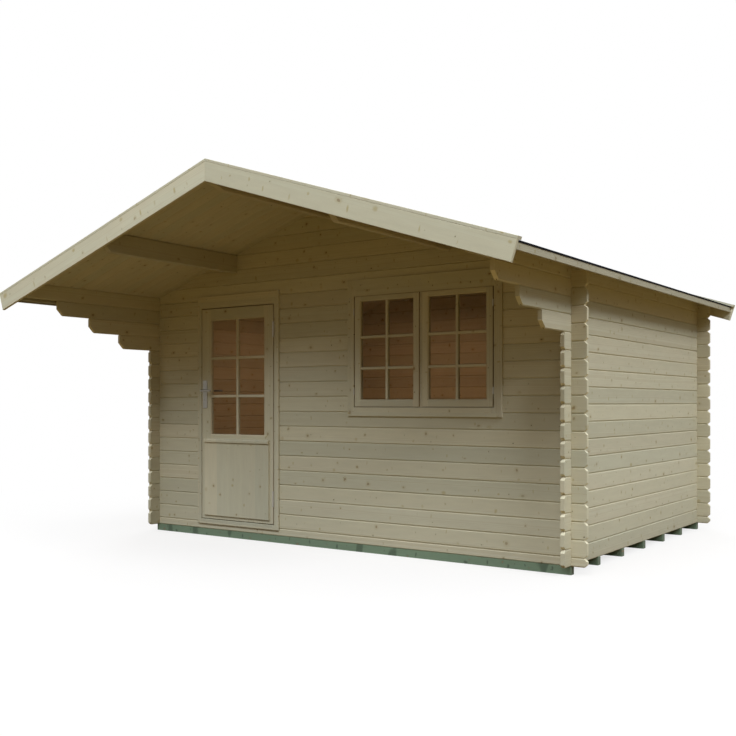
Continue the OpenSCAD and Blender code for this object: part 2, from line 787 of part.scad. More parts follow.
// Small barrel hinges, seated over the gaps at the outer edges of the sashes
module window_hinges() {
    half_gap = (sash_gap + hinge_groove) / 2;
    seat = sqrt(pow(window_hinge_d / 2 + fit, 2) - pow(half_gap, 2));
    color("silver")
        for (s = [-1, 1], z = [window_hinge_inset, sash_h - window_hinge_inset - window_hinge_h])
            translate([window_x + s * (sash_side + sash_w / 2 + half_gap), sash_y - seat, sash_z + z])
                cylinder(d = window_hinge_d, h = window_hinge_h, $fn = 32);
}

// ---------- Pieces ----------

for (i = [1:bearer_count])
    bearer(i);
floor_deck();  // floor
side_wall(-1);  // left_wall
side_wall(1);  // right_wall
canopy_wall(-1);  // left_canopy_logs
canopy_wall(1);  // right_canopy_logs
front_base_log();
front_wall_left();
front_wall_below_window();
front_wall_between();
front_wall_right();
gable(front_log_y);  // front_gable
rear_wall();
gable(rear_log_y);  // rear_gable
color("tan") purlin(0);  // ridge_purlin
color("tan") purlin(-1);  // left_purlin
color("tan") purlin(1);  // right_purlin
left() roof_boards();  // left_roof_boards
roof_boards();  // right_roof_boards
roof_felt();
left() eaves_board();  // left_eaves_board
eaves_board();  // right_eaves_board
barge_boards(1);  // front_barge_boards
barge_boards(-1);  // rear_barge_boards
door_frame();
door_casing();
door_leaf();
door_panel();
door_glass();
door_handle_plates();
door_lever();
door_hinge_knuckles();
frame_hinge_knuckles();
window_frame();
window_casing();
sash(-1);  // left_sash
sash(1);  // right_sash
window_glass();
window_hinges();
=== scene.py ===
"""Finished look of a log-built garden house: spruce, treated bearers, felt, glass and ironmongery.

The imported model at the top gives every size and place. Each operator finishes one group of pieces.
"""

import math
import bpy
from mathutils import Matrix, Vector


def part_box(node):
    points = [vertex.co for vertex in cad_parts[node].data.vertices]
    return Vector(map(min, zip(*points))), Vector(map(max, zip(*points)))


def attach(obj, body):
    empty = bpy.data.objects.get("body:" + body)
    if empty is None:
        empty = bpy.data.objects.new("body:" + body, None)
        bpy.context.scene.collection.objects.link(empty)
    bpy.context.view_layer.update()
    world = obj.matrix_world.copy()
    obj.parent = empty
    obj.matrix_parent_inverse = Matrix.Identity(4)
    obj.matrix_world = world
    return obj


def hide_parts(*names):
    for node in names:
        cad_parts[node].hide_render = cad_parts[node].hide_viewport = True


bl_info = {
    "name": "Log Garden House",
    "version": (1, 0, 0),
    "blender": (4, 5, 0),
    "location": "3D View > Sidebar > Garden House",
    "description": "Finishes a log-built garden house: timber, felt, glass and ironmongery",
    "category": "Object",
}

import bmesh
import bpy
from bpy.props import FloatProperty, FloatVectorProperty, IntProperty, PointerProperty
from mathutils import Color, Vector

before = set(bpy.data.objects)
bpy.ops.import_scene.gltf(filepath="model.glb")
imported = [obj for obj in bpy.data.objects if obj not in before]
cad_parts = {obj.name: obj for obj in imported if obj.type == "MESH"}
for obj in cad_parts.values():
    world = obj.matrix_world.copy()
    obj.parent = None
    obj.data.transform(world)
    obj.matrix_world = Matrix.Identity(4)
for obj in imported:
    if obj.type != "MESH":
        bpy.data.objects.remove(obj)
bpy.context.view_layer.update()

SIDES = {"left": -1, "right": 1}
HAIRLINE = 0.0003
LONG = 1.0  # An edge longer than this runs along a timber.
X, Y, Z = range(3)


# ---------- Settings ----------


def number(name, description, default, **options):
    return FloatProperty(name=name, description=description, default=default, **options)


def length(name, description, default):
    """A length in metres that a user may change."""
    return number(name, description, default, min=0.0, precision=4, unit="LENGTH")


def colour(name, description, default):
    return FloatVectorProperty(
        name=name, description=description, default=default, min=0.0, max=1.0, subtype="COLOR"
    )


class GardenHouseTimber(bpy.types.PropertyGroup):
    """Sizes of the boards and bars."""

    course: length("Log course", "Height of one log", 0.114)
    roof_board: length("Roof board", "Cover width of one roof board", 0.0956)
    floor_board: length("Floor board", "Cover width of one floor board", 0.0889)
    groove: length("Board bevel", "Bevel along the edges of a board", 0.0022)
    arris: length("Eased edge", "Radius on the edges of trims and joinery", 0.0025)
    door_rail: length("Door stile", "Width of a stile of the door leaf", 0.100)
    sash_rail: length("Sash rail", "Width of the stiles and the foot rail of a sash", 0.052)
    sash_head: length("Sash head rail", "Width of the head rail of a sash", 0.037)
    frame_timber: length("Frame timber", "Width of a frame's uprights, with their stops", 0.046)
    glass_seat: length("Glass seat", "How far a pane reaches into its rebate", 0.0117)
    stave: length("Stave", "Width of one stave in the door panel", 0.139)
    door_bar: length("Door glazing bar", "Width of a glazing bar in the door", 0.022)
    sash_bar: length("Sash glazing bar", "Width of a glazing bar in a sash", 0.020)
    sash_row: number("Sash row", "Height of a lower row of panes as a share of all", 0.3175)
    bar_depth: length("Bar depth", "Reach of a glazing bar from the glass", 0.013)
    bar_bevel: length("Bar bevel", "Bevel along a glazing bar", 0.004)
    screw: length("Screw head", "Diameter of a countersunk screw head", 0.007)
    purlin_chamfer: length("Purlin chamfer", "Chamfer under the end of a purlin", 0.045)
    barge_width: length("Barge board", "Width of a barge board", 0.119)
    barge_depth: length("Barge board thickness", "Thickness of a barge board", 0.020)
    cap_height: length("Cap batten", "Thickness of the batten that caps a barge board", 0.018)
    pitch: number("Roof pitch", "Slope of the roof", math.radians(18), subtype="ANGLE")


class GardenHouseRoofing(bpy.types.PropertyGroup):
    """Sizes of the roofing felt and its nails."""

    thickness: length("Felt thickness", "Thickness of one sheet of felt", 0.003)
    lap: length("Lap", "Overlap of one strip on the next", 0.08)
    cap: length("Ridge cap", "Reach of the ridge cap on each slope", 0.17)
    fold: length("Fold", "Depth of the fold over the eaves board", 0.008)
    nail_step: length("Nail spacing", "Distance between two nails along a lap", 0.10)
    nail_head: length("Nail head", "Diameter of a clout nail's head", 0.009)
    strips: IntProperty(name="Strips", description="Strips of felt on one slope", default=3, min=2)


class GardenHouseFinish(bpy.types.PropertyGroup):
    """Colours of the finishes."""

    wood: colour("Early wood", "Pale wood between the growth rings", (0.62, 0.56, 0.39))
    grain: colour("Late wood", "Darker line of a growth ring", (0.52, 0.42, 0.25))
    blush: colour("Warm wood", "Warmer boards and streaks", (0.62, 0.525, 0.35))
    silver: colour("Silvery wood", "Cooler, greyer boards", (0.60, 0.572, 0.42))
    rose: colour("Rosy wood", "Pinker boards", (0.65, 0.555, 0.39))
    resin: colour("Resin", "Brown and yellow stains round knots", (0.45, 0.345, 0.15))
    # The knot colour also paints the shade along the edges of the door leaf and the sashes.
    knot: colour("Knot", "Heart of a sound knot", (0.33, 0.215, 0.12))
    bark: colour("Bark", "Rim of a knot, and dead knots", (0.085, 0.058, 0.035))
    treated: colour("Treated wood", "Pressure-treated bearers", (0.255, 0.335, 0.21))
    treated_grain: colour("Treated grain", "Growth rings of the bearers", (0.18, 0.22, 0.145))
    treated_end: colour("Treated end", "Sawn ends of the bearers", (0.17, 0.17, 0.12))
    felt: colour("Felt", "Mineral surface of the felt", (0.008, 0.008, 0.009))
    glass: colour("Glass", "Tint of the panes", (0.96, 0.975, 0.97))
    glass_film: colour("Glass film", "Thin dark film of a pane", (0.03, 0.028, 0.024))
    aluminium: colour("Handle", "Anodised aluminium of the handle", (0.31, 0.285, 0.235))
    zinc: colour("Zinc", "Dull zinc plating of hinges and screws", (0.50, 0.45, 0.37))


class GardenHouseStage(bpy.types.PropertyGroup):
    """Floor, light and camera."""

    eye: FloatVectorProperty(
        name="Camera", description="Place of the camera", default=(4.319, -6.429, 1.089), unit="LENGTH"
    )
    heading: number("Heading", "Turn away from facing the front", math.radians(35.154), subtype="ANGLE")
    focal: number("Focal length", "In millimetres", 46.65)
    rise: number("Vertical shift", "Share of the width", 0.0479)
    horizon: number("Horizon", "Strength of the light from low down", 0.03)
    zenith: number("Zenith", "Added strength overhead", 1.2)
    key: number("Key", "Power of the lamp high on the right in watts", 2020.0)
    front_fill: number("Front fill", "Power of the lamp in front in watts", 3080.0)
    rear_fill: number("Rear fill", "Power of the lamp at the rear in watts", 1700.0)
    indoors: number("Indoors", "Power of the lamp indoors in watts", 8.4)
    low_light: colour("Low light", "Tint of the light from the horizon", (1.0, 0.75, 0.4))
    high_light: colour("High light", "Tint of the light from overhead", (0.77, 0.87, 1.0))
    indoor_light: colour("Indoor light", "Tint of the lamp indoors", (1.0, 0.60, 0.37))
    ground: colour("Ground", "What the floor scatters on to the house", (0.17, 0.11, 0.034))


def chosen(group):
    """One group of settings."""
    return getattr(bpy.context.scene, f"garden_house_{group}")


# ---------- Modelling ----------


def activate(obj):
    """Leaves edit mode and selects one object, or none."""
    if bpy.context.object and bpy.context.object.mode != "OBJECT":
        bpy.ops.object.mode_set(mode="OBJECT")
    bpy.ops.object.select_all(action="DESELECT")
    if obj:
        obj.select_set(True)
        bpy.context.view_layer.objects.active = obj


def settle(name):
    """Names the new object and moves its place, turn and size into its mesh."""
    obj = bpy.context.object
    obj.name = obj.data.name = name
    bpy.ops.object.transform_apply(location=True, rotation=True, scale=True)
    return obj


def block(name, low, high):
    """A box between two corners."""
    activate(None)
    low, high = Vector(low), Vector(high)
    bpy.ops.mesh.primitive_cube_add(size=1, location=(low + high) / 2, scale=high - low)
    return settle(name)


def disc(name, centre, radius, depth, sides, turn=(0, 0, 0)):
    """A short cylinder, upright before its turn."""
    activate(None)
    bpy.ops.mesh.primitive_cylinder_add(
        vertices=sides, radius=radius, depth=depth, location=centre, rotation=turn
    )
    return settle(name)


def middle(part):
    """The middle of a vertex, edge or face."""
    corners = getattr(part, "verts", [part])
    return sum((corner.co for corner in corners), Vector()) / len(corners)


def extent(edge, axis):
    """How far an edge reaches along an axis."""
    first, second = edge.verts
    return abs(first.co[axis] - second.co[axis])


def meets(first, second):
    """Whether two measures differ by no more than a hairline."""
    return abs(first - second) < HAIRLINE


def spaced(first, last, count):
    """Evenly spaced places from the first to the last."""
    return [first + (last - first) * k / (count - 1) for k in range(count)]


def choose(obj, kind, test):
    """Enters edit mode and selects the vertices, edges or faces that pass a test."""
    activate(obj)
    bpy.ops.object.mode_set(mode="EDIT")
    bpy.ops.mesh.select_mode(type=kind)
    bpy.ops.mesh.select_all(action="DESELECT")
    mesh = bmesh.from_edit_mesh(obj.data)
    for part in {"VERT": mesh.verts, "EDGE": mesh.edges, "FACE": mesh.faces}[kind]:
        part.select_set(test(part))
    mesh.select_flush_mode()
    bmesh.update_edit_mesh(obj.data)


def close_edit():
    bpy.ops.object.mode_set(mode="OBJECT")


def shift(obj, test, move):
    """Moves the vertices that pass a test."""
    choose(obj, "VERT", test)
    bpy.ops.transform.translate(value=move)
    close_edit()


def ease(obj, test, width, segments=2):
    """Bevels the edges that pass a test."""
    choose(obj, "EDGE", test)
    bpy.ops.mesh.bevel(offset=width, segments=segments, affect="EDGES")
    close_edit()


def cut(obj, point, normal):
    """Cuts off what lies ahead of a plane and closes the cut."""
    choose(obj, "FACE", lambda face: True)
    bpy.ops.mesh.bisect(plane_co=point, plane_no=normal, use_fill=True, clear_outer=True)
    close_edit()


def modify(obj, kind, **settings):
    """Adds a modifier with these settings and applies it."""
    activate(obj)
    bpy.ops.object.modifier_add(type=kind)
    modifier = obj.modifiers[-1]
    for key, value in settings.items():
        setattr(modifier, key, value)
    bpy.ops.object.modifier_apply(modifier=modifier.name)
    return obj


def ease_all(obj, width, segments=2):
    return modify(obj, "BEVEL", width=width, segments=segments, limit_method="ANGLE")


def row(obj, count, step):
    """Repeats a mesh a number of times in one direction."""
    settings = {"use_relative_offset": False, "use_constant_offset": True}
    return modify(obj, "ARRAY", count=count, constant_offset_displace=step, **settings)


def copy(obj, name, move):
    """A copy with a mesh of its own, moved."""
    activate(obj)
    bpy.ops.object.duplicate(linked=False)
    bpy.ops.transform.translate(value=move)
    return settle(name)


def join(name, pieces):
    """Makes one object of several."""
    activate(pieces[0])
    for piece in pieces[1:]:
        piece.select_set(True)
    if len(pieces) > 1:
        bpy.ops.object.join()
    return settle(name)


def fit(piece, body, slot, material, *nodes):
    """Gives a finished piece its material and body, and hides the nodes that it stands for. The slot is
    not used.
    """
    piece.data.materials.clear()
    piece.data.materials.append(material)
    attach(piece, body)
    if nodes:
        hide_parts(*nodes)
    return piece


def paint_node(node, material):
    """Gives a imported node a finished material."""
    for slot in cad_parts[node].material_slots:
        slot.material = material


# ---------- Shader maths ----------


def maths(operation, turned=False):
    """A method that adds a Math node; turned puts the other number first."""

    def apply(self, *others):
        values = (*others, self) if turned else (self, *others)
        return self.paint.node("Math", dict(enumerate(values)), {"operation": operation})

    return apply


class Value:
    """What varies over a surface. Arithmetic on numbers adds Math nodes."""

    def __init__(self, paint, socket):
        self.paint = paint
        self.socket = socket

    __add__ = __radd__ = maths("ADD")
    __sub__ = maths("SUBTRACT")
    __rsub__ = maths("SUBTRACT", turned=True)
    __mul__ = __rmul__ = maths("MULTIPLY")
    __truediv__ = maths("DIVIDE")
    __pow__ = maths("POWER")
    __abs__ = maths("ABSOLUTE")
    __gt__ = maths("GREATER_THAN")
    __lt__ = maths("LESS_THAN")
    floor = maths("FLOOR")
    fraction = maths("FRACT")
    sign = maths("SIGN")
    least = maths("MINIMUM")
    most = maths("MAXIMUM")

    def between(self, low, high):
        """0 below low, 1 above high and a smooth rise between, or a fall where high is the lower."""
        names = ("From Min", "From Max", "To Min", "To Max")
        ends = (low, high, 0.0, 1.0) if low < high else (high, low, 1.0, 0.0)
        sockets = {"Value": self, **dict(zip(names, ends))}
        return self.paint.node("MapRange", sockets, {"interpolation_type": "SMOOTHSTEP", "clamp": True})


class Paint:
    """A material or world under construction."""

    def __init__(self, owner):
        owner.use_nodes = True
        self.owner = owner
        self.tree = owner.node_tree
        self.tree.nodes.clear()

    def node(self, kind, sockets=None, settings=None, out=0):
        """Adds a node, sets it up and returns one of its outputs. A Color gets its alpha here."""
        made = self.tree.nodes.new("ShaderNode" + kind)
        for key, value in (settings or {}).items():
            setattr(made, key, value)
        for key, value in (sockets or {}).items():
            if isinstance(value, Value):
                self.tree.links.new(value.socket, made.inputs[key])
            else:
                made.inputs[key].default_value = (*value, 1.0) if isinstance(value, Color) else value
        return Value(self, made.outputs[out])

    def split(self, vector):
        """The three parts of a vector."""
        first = self.node("SeparateXYZ", {0: vector})
        return [Value(self, output) for output in first.socket.node.outputs]

    def vector(self, x, y, z):
        return self.node("CombineXYZ", {0: x, 1: y, 2: z})

    def place(self):
        """The three object coordinates."""
        return self.split(self.node("TexCoord", out="Object"))

    def facing(self, axis):
        """How squarely the surface faces along an axis, from 0 to 1."""
        normal = self.node("TexCoord", out="Normal")
        return abs(dict(zip("xyz", self.split(normal)))[axis])

    def border(self, low, high):
        """Distance from the border of an upright piece between two corners."""
        x, _, z = self.place()
        side = (x - low.x).least(high.x - x)
        return side.least((z - low.z).least(high.z - z))

    def noise(self, x, y, z, detail=2.0):
        sockets = {"Vector": self.vector(x, y, z), "Scale": 1.0, "Detail": detail}
        return self.node("TexNoise", sockets)

    def luck(self, x, y, z):
        """Three random numbers that stay the same wherever the three values do."""
        sockets = {"Vector": self.vector(x, y, z)}
        return self.split(self.node("TexWhiteNoise", sockets, {"noise_dimensions": "3D"}, "Color"))

    def mix(self, factor, first, second):
        settings = {"data_type": "RGBA", "clamp_factor": True}
        return self.node("Mix", {0: factor, 6: first, 7: second}, settings, 2)

    def scale(self, tint, amount):
        """A colour made lighter or darker."""
        return self.node("VectorMath", {0: tint, "Scale": amount}, {"operation": "SCALE"})

    def bump(self, height, distance, strength=1.0):
        sockets = {"Height": height, "Distance": distance, "Strength": strength}
        return self.node("Bump", sockets)

    def surface(self, shader):
        """Ends a material with its shader."""
        output = self.tree.nodes.new("ShaderNodeOutputMaterial")
        self.tree.links.new(shader.socket, output.inputs["Surface"])
        return self.owner

    def principled(self, **sockets):
        named = {key.replace("_", " "): value for key, value in sockets.items()}
        return self.node("BsdfPrincipled", named)


def material(name):
    return Paint(bpy.data.materials.new(name))


# ---------- Finishes ----------


def laid(along, across, start, cover, level):
    """How parallel boards lie: the axes they run along and lie across, the foot of the first,
    the cover width of one, and the level of their middles on the third axis."""

    def lay(paint):
        axes = dict(zip("xyz", paint.place()))
        third = (set("xyz") - {along, across}).pop()
        steps = (axes[across] - start) / cover
        board = steps.floor()
        return axes[along], (steps - board - 0.5) * cover, axes[third] - level, board

    return lay


def single(along, node):
    """How one timber lies that fills a node's box."""
    low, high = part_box(node)
    centre = dict(zip("xyz", (low + high) / 2))
    across, third = [axis for axis in "zyx" if axis != along]

    def lay(paint):
        axes = dict(zip("xyz", paint.place()))
        return axes[along], axes[across] - centre[across], axes[third] - centre[third], 0.0

    return lay


def framed(low, high, stile, level, step=0.18):
    """How a frame's timbers lie: stiles upright at both sides, and between them rails whose
    grain starts anew every step."""
    centre = (Vector(low) + Vector(high)) / 2
    half = (high[0] - low[0]) / 2 - stile

    def lay(paint):
        x, y, z = paint.place()
        away = x - centre.x
        upright = abs(away) > half
        flat = 1 - upright
        on_stile = abs(away) - (half + stile / 2)
        rise = z - centre.z
        rail = (rise / step).floor() + 7
        return (
            upright * z + flat * x,
            upright * on_stile + flat * (rise - (rail - 6.5) * step),
            y - level,
            upright * away.sign() + flat * rail,
        )

    return lay


def crossed(upright, width, level):
    """How glazing bars lie: one upright bar at a place across, and level bars beside it."""

    def lay(paint):
        x, y, z = paint.place()
        away = x - upright
        post = abs(away) < width / 2
        flat = 1 - post
        return (
            post * z + flat * x,
            post * away + flat * ((z * 50).floor() * 0.02 - z + 0.01),
            y - level,
            flat * (z * 5).floor() + away.sign() * flat,
        )

    return lay


def raked(apex, width, level):
    """How boards lie that run down both slopes from an apex, one on each side."""
    pitch = chosen("timber").pitch

    def lay(paint):
        x, y, z = paint.place()
        run = abs(x)
        drop = apex - z
        return (
            run * math.cos(pitch) + drop * math.sin(pitch),
            drop * math.cos(pitch) - run * math.sin(pitch) - width / 2,
            y - level,
            x.sign(),
        )

    return lay


def sloping(ridge, start, cover):
    """How roof boards lie that run down both slopes side by side."""
    pitch = chosen("timber").pitch

    def lay(paint):
        x, y, z = paint.place()
        steps = (y - start) / cover
        board = steps.floor()
        run = abs(x)
        across = (steps - board - 0.5) * cover
        return run / math.cos(pitch), across, z + run * math.tan(pitch) - ridge, board

    return lay


# Kinds of knots: length of board to each, smallest and largest radius, share of the places that
# hold one, and how much some are squeezed along the board.
KNOTS = {
    "sound": (0.25, 0.004, 0.010, 0.46, 0.7),
    "dead": (0.27, 0.0028, 0.0052, 0.56, 1.8),
    "stain": (0.17, 0.008, 0.019, 0.66, 3.4),
}
FAR = 100  # Knot radii: where there is no knot.


def knot_layer(paint, spot, kind, spread, seed, amount=1.0, bold=1.0):
    """Knots along boards: the distance from the nearest in its radii, and how strongly it shows."""
    cell, smallest, largest, share, squeeze = KNOTS[kind]
    share = share * amount
    along, across, board = spot
    steps = along / cell + board * 0.37 + seed
    index = steps.floor()
    first, second, third = paint.luck(index, board, seed + cell)
    away_along = (steps - index - (first * 0.6 + 0.2)) * cell * (second * squeeze + 0.6)
    away_across = across - (second - 0.5) * spread
    radius = third * ((largest - smallest) * bold / share) + smallest * bold
    distance = (away_along**2 + away_across**2) ** 0.5 / radius
    return distance + (third > share) * FAR, (first - second).fraction() * 0.5 + 0.5


def wood(
    name, lay, seed, axis=None, tone=1.0, blush=0.35, knots=1.0, spread=0.08,
    treated=False, grain=0.34, variety=0.16, stains=0.72, bold=1.0, painted_shade_rim=None,
):
    """Planed spruce: growth rings round an off-centre pith, fibre, stains, and sound and dead knots.

    The axis is the grain's, for timbers whose ends show. Knots lie in a width of spread, grain is
    the strength of the rings, variety how much boards differ, bold the size of the stains, and rim
    two corners of a piece whose edges get painted shade, a band of knot colour that stands in for
    the shade in the gaps round it. Chamfers round cut ends get a painted highlight.
    """
    finish = chosen("finish")
    paint = material(name)
    along, across, through, board = lay(paint)
    lot_a, lot_b, lot_c = paint.luck(board, seed, 0.5)
    offset = lot_a * 37 + seed

    # Knots and stains, with an uneven outline.
    drift = paint.noise(along * 34 + offset, across * 34, through * 34, 1.0) - 0.5
    spot = (along + drift * 0.016, across + drift * 0.012, board)
    sound, sound_depth = knot_layer(paint, spot, "sound", spread, seed, knots)
    dead, dead_depth = knot_layer(paint, spot, "dead", spread, seed + 11, knots)
    stain, stain_depth = knot_layer(paint, spot, "stain", spread, seed + 23, bold=bold)
    swirl = (sound.between(3.2, 0.6) + dead.between(3.5, 0.8) * 0.5) * sound_depth
    heart = sound.between(1.05, 0.65) * sound_depth
    rim_ring = heart * sound.between(0.5, 0.95) + sound.between(0.4, 0.1) * 0.6 * sound_depth
    hole = dead.between(1.1, 0.5) * dead_depth

    # Growth rings, 3 to 5 mm wide, round a pith that wanders along the board.
    wander = paint.noise(along * 0.4 + offset, board * 3.1, seed, 1.0)
    pith_across = (lot_a - 0.5) * 0.11 + (wander - 0.5) * 0.06
    pith_through = (lot_b * 0.06 + 0.02) * (lot_c - 0.5).sign()
    radius = ((across - pith_across) ** 2 + (through - pith_through) ** 2) ** 0.5
    rings = (radius + swirl * 0.006) / (lot_b * 0.002 + 0.0032)
    ring = rings - rings.floor()
    late = ring.between(0.35, 0.92) * ring.between(1.0, 0.93)

    # Fine fibre, broad clouds, small patches, cut ends, and the chamfers round cut ends, where a
    # highlight is painted.
    fibre = paint.noise(along * 9 + offset, across * 420, through * 420, 2.0)
    cloud = paint.noise(along * 1.3 + offset, across * 9, board * 5.7 + seed, 2.0)
    patch = paint.noise(along * 5.5 + offset, across * 34, board * 3.3 + seed, 3.0)
    end = painted_chamfer_highlight = 0.0
    if axis:
        facing = paint.facing(axis)
        end = facing.between(0.55, 0.7)
        painted_chamfer_highlight = end * facing.between(0.92, 0.78)

    # Colours, each laid over the one before, and then their brightness.
    if treated:
        pale = silver = rose = finish.treated
        dark = warm = resin = finish.treated_grain
    else:
        pale, silver, rose = finish.wood, finish.silver, finish.rose
        dark, warm, resin = finish.grain, finish.blush, finish.resin
    cool = paint.mix(lot_a * 0.6 + cloud * 1.3 - 0.82 + (patch - 0.5) * 0.8, pale, silver)
    tinted = paint.mix(lot_b * 0.7 - cloud * 1.2 + 0.25, cool, rose)
    ground = paint.mix((lot_c * 0.5 + cloud * 0.9 - 0.45) * (blush * 2), tinted, warm)
    if treated:
        ground = paint.mix(end * 0.8, ground, finish.treated_end)
    ringed = paint.mix(late * (grain + end * 0.12), ground, dark)
    stained = paint.mix(stain.between(1.15, 0.2) * stain_depth * stains + swirl * 0.4, ringed, resin)
    knotted = paint.mix(heart * 0.7, stained, finish.knot)
    rimmed = paint.mix(rim_ring * 0.5, knotted, finish.bark)
    holed = paint.mix(hole * 0.9, rimmed, finish.bark)
    level = (lot_c * variety + (1 - variety / 2)) * (fibre * 0.08 + 0.96) * (patch * 0.14 + 0.93)
    # Cut ends a little lighter, and the chamfers round them much lighter: a painted highlight where they
    # catch the light.
    level = level * (end * 0.07 + painted_chamfer_highlight * 0.27 + 1) * tone
    if treated:
        band = paint.noise(along * 7 + offset, across * 3, seed, 1.0).between(0.60, 0.66)
        level = level * (1 - band * 0.42) * (1 - stain.between(1.3, 0.6) * 0.4)
    # Painted shade: a band along the piece's edges, darkened towards the knot colour, stands in for the
    # shade in the gaps round a door leaf or sash.
    if painted_shade_rim:
        holed = paint.mix(paint.border(*painted_shade_rim).between(0.0045, 0.0015) * 0.6, holed, finish.knot)
    height = fibre * 0.5 + late * 0.35 - heart * 0.4 - hole
    shader = paint.principled(
        Base_Color=paint.scale(holed, level),
        Roughness=0.76 - late * 0.08 - heart * 0.15 + end * 0.12,
        Specular_IOR_Level=0.05,
        Normal=paint.bump(height, 0.0005, 0.35),
    )
    return paint.surface(shader)


def felt_finish(name):
    """Bitumen felt with mineral granules, in strips that differ a little."""
    finish = chosen("finish")
    roofing = chosen("roofing")
    paint = material(name)
    x, y, z = paint.place()
    grit = paint.noise(x * 520, y * 520, z * 520, 1.0)
    patch = paint.noise(x * 1.6, y * 1.1, z, 4.0)
    strip = (abs(x) * roofing.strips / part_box("roof_felt")[1].x).floor() * x.sign()
    batch = paint.luck(strip, x.sign(), 7.0)[0]
    speck = grit.between(0.56, 0.72)
    base = paint.mix(speck * 0.55, finish.felt, finish.felt * 7)
    shader = paint.principled(
        Base_Color=paint.scale(base, (patch * 1.8 + 0.1) * (batch * 0.5 + 0.75)),
        Roughness=0.97 - speck * 0.1,
        Specular_IOR_Level=0.05,
        Normal=paint.bump(grit, 0.0012, 0.6),
    )
    return paint.surface(shader)


def metal_finish(name, tint, roughness, brushed, bare):
    """Satin metal with fine brush marks and a few dull patches; bare is less under a dull plating."""
    paint = material(name)
    x, y, z = paint.place()
    marks = paint.noise(x * 900, y * 900, z * brushed, 1.0)
    patch = paint.noise(x * 40, y * 40, z * 40, 2.0)
    shader = paint.principled(
        Base_Color=paint.scale(tuple(tint), patch * 0.2 + 0.9),
        Metallic=bare,
        Roughness=marks * 0.12 + patch * 0.1 + (roughness - 0.1),
        Normal=paint.bump(marks, 0.0001, 0.3),
    )
    return paint.surface(shader)


def glass_finish(name):
    """Clear float glass with a faint film of dust."""
    finish = chosen("finish")
    paint = material(name)
    x, y, z = paint.place()
    dust = paint.noise(x * 6, y * 6, z * 3, 3.0)
    clear = paint.node("BsdfTransparent", {"Color": finish.glass})
    film = paint.principled(
        Base_Color=finish.glass_film, Roughness=dust * 0.1 + 0.05, Specular_IOR_Level=0.15
    )
    mixed = paint.node("MixShader", {0: dust * 0.06 + 0.06, 1: clear, 2: film})
    return paint.surface(mixed)


# ---------- Operators ----------


class PieceOperator(bpy.types.Operator):
    """Finishes one group of pieces."""

    bl_options = {"REGISTER", "UNDO"}

    @property
    def timber(self):
        return chosen("timber")

    def execute(self, context):
        self.build()
        activate(None)
        return {"FINISHED"}


class GARDENHOUSE_OT_stage(PieceOperator):
    """Set up the floor, the light and the camera"""

    bl_idname = "garden_house.stage"
    bl_label = "Stage"

    def shown(self, paint):
        """1 for a camera, mirror or window ray, 0 for scattered light."""
        path = paint.node("LightPath").socket.node
        kinds = ("Camera", "Glossy", "Transmission")
        camera, mirror, window = (Value(paint, path.outputs[f"Is {kind} Ray"]) for kind in kinds)
        return camera.most(mirror.most(window))

    def floor(self, stage):
        """A floor that looks white and scatters the ground's tint on to the house."""
        activate(None)
        bpy.ops.mesh.primitive_circle_add(vertices=96, radius=60, fill_type="NGON")
        floor = settle("floor_plane")
        paint = material("pale_floor")
        x, y, _ = paint.place()
        far = ((x**2 + y**2) ** 0.5).between(2.5, 6.0)
        ground = paint.node("BsdfDiffuse", {"Color": stage.ground})
        pale = paint.node("BsdfDiffuse", {"Color": (0.95, 0.85, 0.75, 1)})
        white = paint.node("Emission", {"Color": (1, 1, 1, 1), "Strength": 1.0})
        seen = paint.node("MixShader", {0: far * 0.25 + 0.75, 1: pale, 2: white})
        paint.surface(paint.node("MixShader", {0: self.shown(paint), 1: ground, 2: seen}))
        floor.data.materials.append(paint.owner)

    def world(self, stage):
        """A sky that looks white and lights the house from low down and from overhead."""
        world = bpy.data.worlds.new("studio")
        bpy.context.scene.world = world
        paint = Paint(world)
        direction = paint.node("TexCoord", out="Generated")
        height = paint.split(direction)[2]
        up = height.most(0.0) * stage.zenith

        def light(tint, strength):
            return paint.node("Background", {"Color": tint, "Strength": strength})

        low, high = light(stage.low_light, stage.horizon), light(stage.high_light, up)
        sky = paint.node("AddShader", {0: low, 1: high})
        white = light((1, 1, 1, 1), 1.0)
        mixed = paint.node("MixShader", {0: self.shown(paint), 1: sky, 2: white})
        output = paint.tree.nodes.new("ShaderNodeOutputWorld")
        paint.tree.links.new(mixed.socket, output.inputs["Surface"])

    def lamp(self, name, place, target, size, power, tint):
        """A square softbox that looks at a point."""
        bpy.ops.object.light_add(type="AREA", location=place)
        lamp = bpy.context.object
        lamp.name = name
        lamp.data.size = size
        lamp.data.energy = power
        lamp.data.color = tint
        lamp.rotation_euler = (Vector(target) - Vector(place)).to_track_quat("-Z", "Y").to_euler()

    def camera(self, stage):
        bpy.ops.object.camera_add(location=stage.eye, rotation=(math.radians(90), 0, stage.heading))
        camera = bpy.context.object
        camera.data.lens = stage.focal
        camera.data.shift_y = stage.rise
        bpy.context.scene.camera = camera

    def build(self):
        stage = chosen("stage")
        bpy.context.scene.view_settings.view_transform = "Standard"
        self.floor(stage)
        self.world(stage)
        house, room = (0, 0, 1), (-0.35, 0.5, 0)
        ceiling = (*room[:2], 2.05)
        self.lamp("key_softbox", (16, -4, 13), house, 5, stage.key, stage.high_light)
        self.lamp("front_softbox", (4, -15.7, 17), house, 10, stage.front_fill, stage.high_light)
        self.lamp("rear_softbox", (-12, 16, 10), house, 8, stage.rear_fill, stage.high_light)
        self.lamp("indoor_softbox", ceiling, room, 1.6, stage.indoors, stage.indoor_light)
        self.camera(stage)


